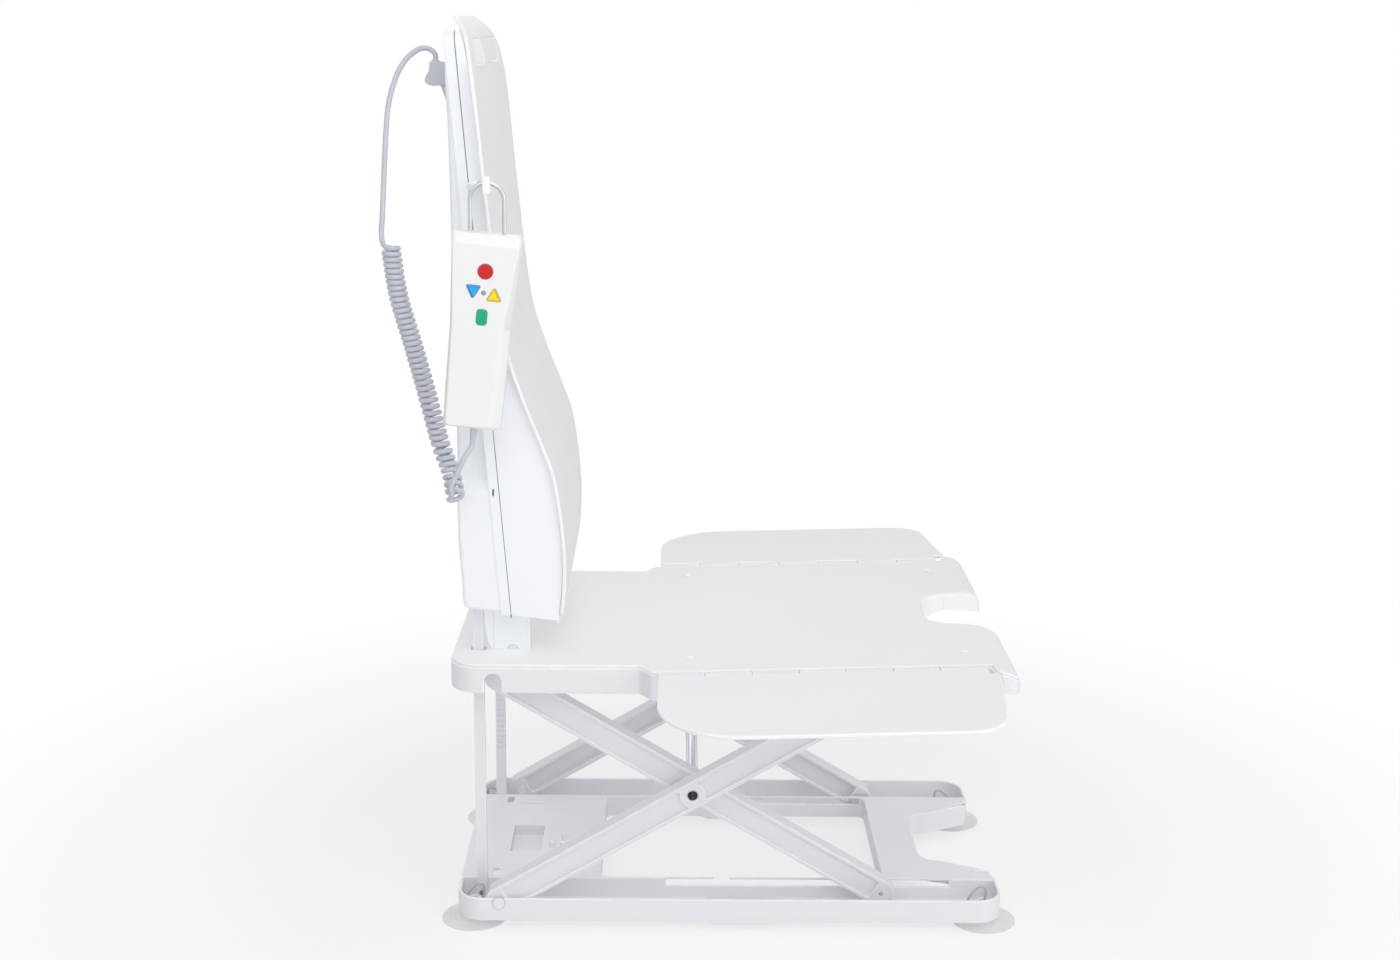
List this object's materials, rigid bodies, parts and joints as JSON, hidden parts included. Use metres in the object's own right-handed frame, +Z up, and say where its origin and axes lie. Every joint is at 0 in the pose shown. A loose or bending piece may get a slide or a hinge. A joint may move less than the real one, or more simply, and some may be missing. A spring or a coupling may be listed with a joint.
{
  "type": "bath lift",
  "caption": "Battery bath lift: a covered seat on scissor arms over a suction-cup tray, with fold-down side flaps, a backrest that climbs toothed racks, and a corded hand control.",
  "frame": {"origin": "on the floor, under the middle of the tray", "axes": "+X towards the front of the seat, +Y towards the sitter's left, +Z up"},
  "size_m": [0.6326, 0.6912, 0.907],
  "materials": {
    "white_plastic": "satin moulded",
    "cover_grey": "soft matt",
    "cup_vinyl": "smooth, slightly clear",
    "lamp_clear": "clear",
    "cord_grey": "satin",
    "steel": "bright",
    "dark_plastic": "matt",
    "board_green": "satin",
    "button_red": "gloss",
    "button_blue": "gloss",
    "button_yellow": "gloss",
    "button_green": "gloss"
  },
  "bodies": {
    "base": {"base_frame": "white_plastic", "suction_cup_1": "cup_vinyl", "suction_cup_2": "cup_vinyl", "suction_cup_3": "cup_vinyl", "suction_cup_4": "cup_vinyl", "release_tabs": "cup_vinyl", "rack_near": "white_plastic", "rack_far": "white_plastic", "rack_pins": "steel", "lower_pins": "white_plastic"},
    "outer_arms": {"outer_arm_near": "white_plastic", "outer_arm_far": "white_plastic", "centre_axle": "steel", "top_slide_pins": "steel"},
    "inner_arms": {"inner_arm_near": "white_plastic", "inner_arm_far": "white_plastic", "low_slide_pins": "steel"},
    "low_shoes": {"low_shoe_near": "dark_plastic", "low_shoe_far": "dark_plastic"},
    "top_shoes": {"top_shoe_near": "dark_plastic", "top_shoe_far": "dark_plastic"},
    "seat": {"seat_frame": "white_plastic", "seat_cover": "cover_grey", "cover_studs": "white_plastic", "upper_pins": "white_plastic", "hinge_rods": "steel", "rear_shell": "white_plastic", "front_shell": "white_plastic", "back_cover": "cover_grey", "backrest_bracket_near": "white_plastic", "backrest_bracket_far": "white_plastic", "bracket_keys": "white_plastic", "rack_guide_near": "white_plastic", "rack_guide_far": "white_plastic", "gear_motor": "steel", "cord_socket": "dark_plastic", "cord_plug": "cord_grey", "handset_hook": "white_plastic", "handset_front": "white_plastic", "handset_back": "white_plastic", "handset_bail": "steel", "signal_lamp": "lamp_clear", "circuit_board": "board_green", "battery_pack": "dark_plastic", "cord_gland": "cord_grey", "cord_lead": "cord_grey", "cord_curl": "cord_grey", "cord_tail": "cord_grey"},
    "pinion_near": {"pinion_near": "steel"},
    "pinion_far": {"pinion_far": "steel"},
    "flap_near": {"side_flap_near": "cover_grey"},
    "flap_far": {"side_flap_far": "cover_grey"},
    "stop_button": {"stop_button": "button_red"},
    "lower_button": {"lower_button": "button_blue"},
    "raise_button": {"raise_button": "button_yellow"},
    "power_button": {"power_button": "button_green"}
  },
  "joints": [
    {"name": "lift", "type": "hinge", "parent": "base", "child": "outer_arms", "pos_m": [-0.2355, 0, 0.0312], "axis": [0, -1, 0], "range_deg": [-28.75, 36]},
    {"name": "scissor", "type": "hinge", "parent": "outer_arms", "child": "inner_arms", "pos_m": [-0.03981, 0, 0.14762], "axis": [0, -1, 0], "range_deg": [-72, 57.5]},
    {"name": "seat_level", "type": "hinge", "parent": "inner_arms", "child": "seat", "pos_m": [-0.2355, 0, 0.26404], "axis": [0, -1, 0], "range_deg": [-28.75, 36]},
    {"name": "low_slide_turn", "type": "hinge", "parent": "inner_arms", "child": "low_shoes", "pos_m": [0.15587, 0, 0.0312], "axis": [0, -1, 0], "range_deg": [-28.75, 36]},
    {"name": "top_slide_turn", "type": "hinge", "parent": "outer_arms", "child": "top_shoes", "pos_m": [0.15587, 0, 0.26404], "axis": [0, -1, 0], "range_deg": [-36, 28.75]},
    {"name": "pinion_near_spin", "type": "hinge", "parent": "seat", "child": "pinion_near", "pos_m": [-0.2565, -0.0947, 0.36354], "axis": [1, 0, 0], "range_deg": [-856, 1071]},
    {"name": "pinion_far_spin", "type": "hinge", "parent": "seat", "child": "pinion_far", "pos_m": [-0.2565, 0.0947, 0.36354], "axis": [-1, 0, 0], "range_deg": [-856, 1071]},
    {"name": "flap_near_fold", "type": "hinge", "parent": "seat", "child": "flap_near", "pos_m": [-0.0755, -0.1875, 0.28486], "axis": [-0.9995, 0, -0.0312], "range_deg": [0, 95]},
    {"name": "flap_far_fold", "type": "hinge", "parent": "seat", "child": "flap_far", "pos_m": [-0.0755, 0.1875, 0.28486], "axis": [0.9995, 0, 0.0312], "range_deg": [0, 95]},
    {"name": "stop_button_press", "type": "slide", "parent": "seat", "child": "stop_button", "axis": [0, 1, 0], "range_m": [0, 0.001], "stiffness_N_per_m": 300},
    {"name": "lower_button_press", "type": "slide", "parent": "seat", "child": "lower_button", "axis": [0, 1, 0], "range_m": [0, 0.001], "stiffness_N_per_m": 300},
    {"name": "raise_button_press", "type": "slide", "parent": "seat", "child": "raise_button", "axis": [0, 1, 0], "range_m": [0, 0.001], "stiffness_N_per_m": 300},
    {"name": "power_button_press", "type": "slide", "parent": "seat", "child": "power_button", "axis": [0, 1, 0], "range_m": [0, 0.001], "stiffness_N_per_m": 300}
  ],
  "couplings": [
    {"joint": "scissor", "follows": "lift", "ratio": -2},
    {"joint": "seat_level", "follows": "lift", "ratio": 1},
    {"joint": "low_slide_turn", "follows": "lift", "ratio": 1},
    {"joint": "top_slide_turn", "follows": "lift", "ratio": -1},
    {"joint": "pinion_near_spin", "follows": "lift", "ratio": 29.682},
    {"joint": "pinion_far_spin", "follows": "lift", "ratio": 29.682}
  ]
}
